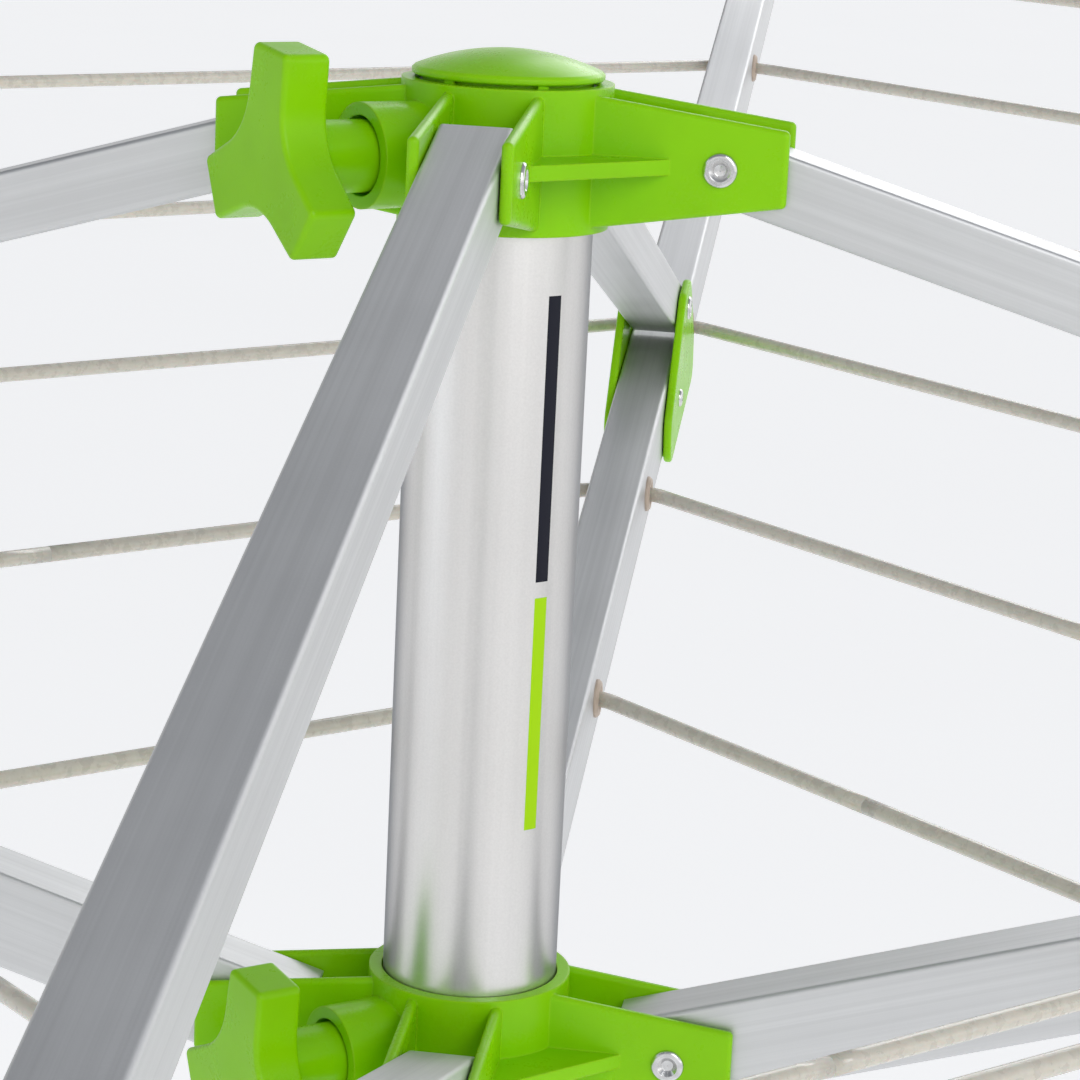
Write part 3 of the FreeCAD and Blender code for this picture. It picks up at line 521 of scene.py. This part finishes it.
class CLOTHESLINE_OT_tubes(bpy.types.Operator):
    """Finish the drawn arm and strut tubes, each with streaks along its own length"""

    bl_idname = "clothesline.tubes"
    bl_label = "Arms and Struts"

    def execute(self, context):
        for side, degrees in SIDES.items():
            bearing = math.radians(degrees)
            finish(["arm_tube_" + side], drawn_aluminium("drawn_arm_" + side, bearing, ARM_SLOPE))
            finish(["strut_tube_" + side], drawn_aluminium("drawn_strut_" + side, bearing, -STRUT_SLOPE))
        return {"FINISHED"}


class CLOTHESLINE_OT_fasteners(bpy.types.Operator):
    """Finish rivets, nuts, clamp screws and the lid's pin"""

    bl_idname = "clothesline.fasteners"
    bl_label = "Rivets and Screws"

    def execute(self, context):
        nodes = ["upper_hub_rivets", "runner_rivets", "lid_pin"]
        for hub in ("upper", "runner"):
            nodes += [hub + "_clamp_nut", hub + "_clamp_screw"]
        nodes += ["bracket_rivets_" + side for side in SIDES]
        finish(nodes, bright_steel())
        return {"FINISHED"}


class CLOTHESLINE_OT_eyelets(bpy.types.Operator):
    """Finish the eyelets that guard the line where it passes through an arm"""

    bl_idname = "clothesline.eyelets"
    bl_label = "Line Eyelets"

    def execute(self, context):
        finish(["line_eyelets_" + side for side in SIDES], eyelet_plastic())
        return {"FINISHED"}


# ---- the washing line ----

BEND_STEPS = 6
SPAN_STEPS = 12
LEAST_KEPT = 0.02
RING_HEIGHT = 0.008

def half_span_route(radius, height, hand, bend):
    """Centre line from inside the arm, round the bend and out to the middle of the span."""
    start = LINE_CORNER - bend * math.tan(math.radians(22.5))
    points = [Vector((radius, 0.0, height)), Vector((radius, hand * start, height))]
    centre = Vector((radius - bend, hand * start, height))
    for step in range(1, BEND_STEPS + 1):
        angle = math.radians(45) * step / BEND_STEPS
        points.append(centre + Vector((bend * math.cos(angle), hand * bend * math.sin(angle), 0)))
    middle = (radius + LINE_CORNER) / 2
    last = points[-1]
    meeting = Vector((middle, hand * middle, height))
    for step in range(1, SPAN_STEPS + 1):
        points.append(last.lerp(meeting, step / SPAN_STEPS))
    return points


def tube_mesh(name, points, thick, facets):
    """A round tube along a level route, closed at both ends. The last ring lies in the 45 degree plane."""
    mesh = bmesh.new()
    rings = []
    for number, point in enumerate(points):
        ahead = points[min(number + 1, len(points) - 1)] - points[max(number - 1, 0)]
        ahead.normalize()
        side = Vector((ahead.y, -ahead.x, 0)).normalized()
        ring = []
        for facet in range(facets):
            turn = 2 * math.pi * facet / facets
            offset = side * math.cos(turn) + Vector((0, 0, 1)) * math.sin(turn)
            ring.append(mesh.verts.new(point + offset * thick))
        rings.append(ring)
    for first, second in zip(rings, rings[1:]):
        for facet in range(facets):
            after = (facet + 1) % facets
            mesh.faces.new((first[facet], first[after], second[after], second[facet]))
    mesh.faces.new(list(reversed(rings[0])))
    mesh.faces.new(rings[-1])
    bmesh.ops.recalc_face_normals(mesh, faces=mesh.faces)
    for face in mesh.faces:
        face.smooth = len(face.verts) == 4
    data = bpy.data.meshes.new(name)
    mesh.to_mesh(data)
    mesh.free()
    return data


def fold_of_span(radius):
    """Direction in which a half span closes up as its arm folds, and the share of it that is left.

    The share brings the span's middle onto the plane between this arm and the next when folded.
    """
    station = (radius - ARM_PIVOT.x) / math.cos(ARM_SLOPE)
    along = -(radius - LINE_CORNER) / 2 * math.cos(ARM_SLOPE)
    rise = (radius - LINE_CORNER) / 2 * math.sin(ARM_SLOPE)
    across = (radius + LINE_CORNER) / 2
    length = math.hypot(1, math.sin(ARM_SLOPE))
    n_rise, n_across = math.sin(ARM_SLOPE) / length, 1 / length
    reach = rise * n_rise + (across - LINE_CORNER) * n_across
    folded = ARM_PIVOT.x + (station + along) * math.cos(FOLDED_SLOPE) - rise * math.sin(FOLDED_SLOPE)
    lost = (across - folded) / (reach * (n_rise * math.sin(FOLDED_SLOPE) + n_across))
    keep = min(1.0, max(LEAST_KEPT, 1 - lost))
    direction = Vector((-math.sin(ARM_SLOPE) * n_rise, n_across, math.cos(ARM_SLOPE) * n_rise))
    return direction, keep


class CLOTHESLINE_OT_line(bpy.types.Operator):
    """String the washing line: two half spans at each eyelet, meeting their neighbours end to end"""

    bl_idname = "clothesline.line"
    bl_label = "Washing Line"

    def execute(self, context):
        values = look("line")
        material = coated_line()
        thick = line_radius()
        for side, degrees in SIDES.items():
            turn = Matrix.Rotation(math.radians(degrees), 3, "Z")
            stand_in = None
            for number, (radius, height) in enumerate(RINGS[side]):
                for hand, word in ((1, "ahead"), (-1, "behind")):
                    name = "line_%s_%d_%s" % (side, number + 1, word)
                    route = half_span_route(radius, height, hand, values.bend)
                    mesh = tube_mesh(name, [turn @ point for point in route], thick, values.facets)
                    mesh.materials.append(material)
                    piece = bpy.data.objects.new(name, mesh)
                    context.scene.collection.objects.link(piece)
                    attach(piece, "arm_" + side)
                    direction, keep = fold_of_span(radius)
                    direction.y *= hand
                    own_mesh(piece)
                    stand_in = stand_in or piece
            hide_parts("clothesline_" + side)
        return {"FINISHED"}


def line_radius():
    """Half the height of the innermost ring of the part's line."""
    mesh = frame["nodes"]["clothesline_right"].data
    level = min(vertex.co.z for vertex in mesh.vertices)
    heights = [vertex.co.z for vertex in mesh.vertices if vertex.co.z < level + RING_HEIGHT]
    return (max(heights) - level) / 2


# ---- the stage ----

FLOOR_REACH = 60
CAMERA_FROM_PIVOTS = (0.1309, -0.8880, 0.1063)
CAMERA_TURN = (13.45, -7.46, 2.73)

def floor_material():
    values = look("stage")
    g = Graph("plain_floor")
    cloud = g.noise(g.place(), 0.7, 3.0)
    colour = g.blend(g.spread(cloud, 0.3, 0.7, 0.0, 1.0), darker(values.floor, 0.985), tuple(values.floor))
    return g.set(Base_Color=colour, Roughness=0.9, Emission_Color=(1.0, 1.0, 1.0),
                 Emission_Strength=values.floor_glow)


def area_light(name, place, target, size, power, colour=(1, 1, 1)):
    data = bpy.data.lights.new(name, "AREA")
    data.shape = "RECTANGLE"
    data.size, data.size_y = size
    data.energy = power
    data.color = colour
    light = bpy.data.objects.new(name, data)
    light.location = place
    light.rotation_euler = (Vector(target) - Vector(place)).to_track_quat("-Z", "Y").to_euler()
    bpy.context.scene.collection.objects.link(light)
    return light


def surround():
    """Even studio light, dimmer overhead than at the level of the horizon, and dimmer on the left."""
    values = look("stage")
    world = bpy.data.worlds.new("studio")
    world.use_nodes = True
    tree = world.node_tree
    tree.nodes.clear()
    where = tree.nodes.new("ShaderNodeTexCoord")
    parts = tree.nodes.new("ShaderNodeSeparateXYZ")
    ramp = tree.nodes.new("ShaderNodeValToRGB")
    light = tree.nodes.new("ShaderNodeBackground")
    out = tree.nodes.new("ShaderNodeOutputWorld")
    tree.links.new(where.outputs["Generated"], parts.inputs["Vector"])
    tree.links.new(parts.outputs["Z"], ramp.inputs["Fac"])
    side = tree.nodes.new("ShaderNodeMapRange")
    for name, value in (("From Min", -1.0), ("From Max", 0.55), ("To Min", values.dim_side), ("To Max", 1.0)):
        side.inputs[name].default_value = value
    tree.links.new(parts.outputs["X"], side.inputs["Value"])
    both = tree.nodes.new("ShaderNodeMix")
    both.data_type = "RGBA"
    both.blend_type = "MULTIPLY"
    both.inputs[0].default_value = 1.0
    tree.links.new(ramp.outputs["Color"], both.inputs[6])
    tree.links.new(side.outputs["Result"], both.inputs[7])
    tree.links.new(both.outputs[2], light.inputs["Color"])
    tree.links.new(light.outputs["Background"], out.inputs["Surface"])
    ramp.color_ramp.elements[0].position = 0.05
    ramp.color_ramp.elements[0].color = (1.0, 1.0, 1.0, 1)
    ramp.color_ramp.elements[1].position = 0.62
    ramp.color_ramp.elements[1].color = (0.25, 0.26, 0.28, 1)
    light.inputs["Strength"].default_value = values.sky
    bpy.context.scene.world = world


def camera():
    """A long lens a little above the head, turned to the front right, with a slight roll."""
    data = bpy.data.cameras.new("camera")
    data.sensor_width = 36
    data.lens = look("stage").lens
    data.clip_end = 200
    eye = bpy.data.objects.new("camera", data)
    pitch, yaw, roll = (math.radians(angle) for angle in CAMERA_TURN)
    ahead = Vector((math.sin(yaw) * math.cos(pitch), math.cos(yaw) * math.cos(pitch), -math.sin(pitch)))
    right = Vector((math.cos(yaw), -math.sin(yaw), 0))
    up = right.cross(ahead)
    level_right = right * math.cos(roll) + up * math.sin(roll)
    level_up = up * math.cos(roll) - right * math.sin(roll)
    turn = Matrix((level_right, level_up, -ahead)).transposed()
    place = Vector((0, 0, UPPER_PIVOT.z)) + Vector(CAMERA_FROM_PIVOTS)
    eye.matrix_world = Matrix.Translation(place) @ turn.to_4x4()
    bpy.context.scene.collection.objects.link(eye)
    bpy.context.scene.camera = eye


class CLOTHESLINE_OT_stage(bpy.types.Operator):
    """Lay the floor, light the studio and set the camera"""

    bl_idname = "clothesline.stage"
    bl_label = "Stage"

    def execute(self, context):
        values = look("stage")
        mesh = bpy.data.meshes.new("floor")
        corners = [(x * FLOOR_REACH, y * FLOOR_REACH, 0) for x, y in ((-1, -1), (1, -1), (1, 1), (-1, 1))]
        mesh.from_pydata(corners, [], [(0, 1, 2, 3)])
        mesh.materials.append(floor_material())
        floor = bpy.data.objects.new("floor", mesh)
        context.scene.collection.objects.link(floor)
        head = (0, 0, UPPER_PIVOT.z - 0.1)
        area_light("key", (1.3, -1.9, 3.2), head, (1.2, 1.6), values.key)
        area_light("fill", (-2.2, -1.2, 2.2), head, (1.4, 2.0), values.key * 0.22, (0.80, 0.90, 1.0))
        area_light("rim", (0.6, 2.2, 3.0), head, (1.6, 1.2), values.key * 0.6)
        surround()
        camera()
        context.scene.view_settings.view_transform = "Standard"
        context.scene.view_settings.look = "None"
        return {"FINISHED"}


STEPS = (
    CLOTHESLINE_OT_green,
    CLOTHESLINE_OT_dark,
    CLOTHESLINE_OT_mast,
    CLOTHESLINE_OT_tubes,
    CLOTHESLINE_OT_fasteners,
    CLOTHESLINE_OT_eyelets,
    CLOTHESLINE_OT_line,
    CLOTHESLINE_OT_stage,
)


class CLOTHESLINE_PT_panel(bpy.types.Panel):
    """Sizes, colours and steps of the clothesline's looks"""

    bl_idname = "CLOTHESLINE_PT_panel"
    bl_label = "Clothesline"
    bl_space_type = "VIEW_3D"
    bl_region_type = "UI"
    bl_category = "Clothesline"

    def draw(self, context):
        for name, group in GROUPS.items():
            box = self.layout.box()
            values = getattr(context.scene, name)
            for key in group.__annotations__:
                box.prop(values, key)
        for step in STEPS:
            self.layout.operator(step.bl_idname)


def register():
    for kind in (*GROUPS.values(), *STEPS, CLOTHESLINE_PT_panel):
        bpy.utils.register_class(kind)
    for name, group in GROUPS.items():
        setattr(bpy.types.Scene, name, bpy.props.PointerProperty(type=group))


def unregister():
    for name in GROUPS:
        delattr(bpy.types.Scene, name)
    for kind in reversed((*GROUPS.values(), *STEPS, CLOTHESLINE_PT_panel)):
        bpy.utils.unregister_class(kind)


def main():
    register()
    for step in STEPS:
        group, name = step.bl_idname.split(".")
        getattr(getattr(bpy.ops, group), name)()


if __name__ == "__main__":
    main()
